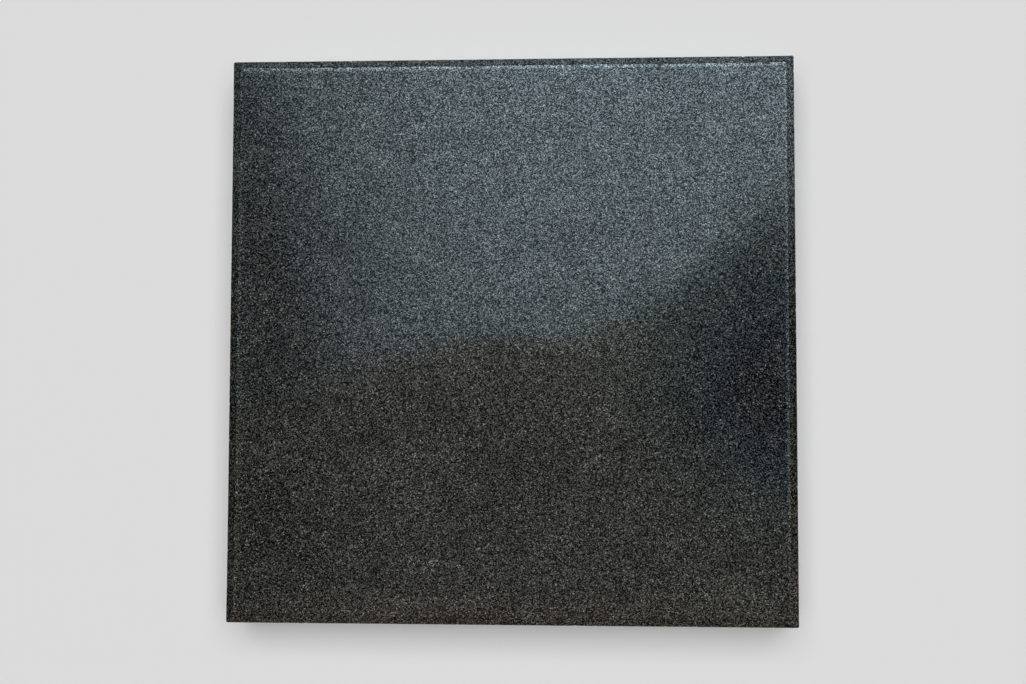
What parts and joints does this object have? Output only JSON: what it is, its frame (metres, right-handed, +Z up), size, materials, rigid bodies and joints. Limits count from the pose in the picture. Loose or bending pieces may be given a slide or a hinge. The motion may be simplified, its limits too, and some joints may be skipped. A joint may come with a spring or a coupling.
{
  "type": "granite tooling slab",
  "caption": "Square dark granite slab with a polished work face and chamfered top edge, on stick-on rubber corner feet, for tooling and stamping leather.",
  "frame": {"origin": "on the bench under the middle of the slab: the centre of the bounding box's bottom face, level with the soles of the feet", "axes": "+Z up out of the work face, +X to the right and +Y to the rear, both parallel to the slab's sides"},
  "size_m": [0.305, 0.305, 0.0416],
  "materials": {
    "granite": "gloss",
    "foot_rubber": "matte",
    "adhesive_foam": "matte"
  },
  "bodies": {
    "root": {"granite_slab": "granite", "foot_front_left": "foot_rubber", "foot_front_right": "foot_rubber", "foot_rear_left": "foot_rubber", "foot_rear_right": "foot_rubber", "foot_adhesive_front_left": "adhesive_foam", "foot_adhesive_front_right": "adhesive_foam", "foot_adhesive_rear_left": "adhesive_foam", "foot_adhesive_rear_right": "adhesive_foam"}
  },
  "joints": []
}
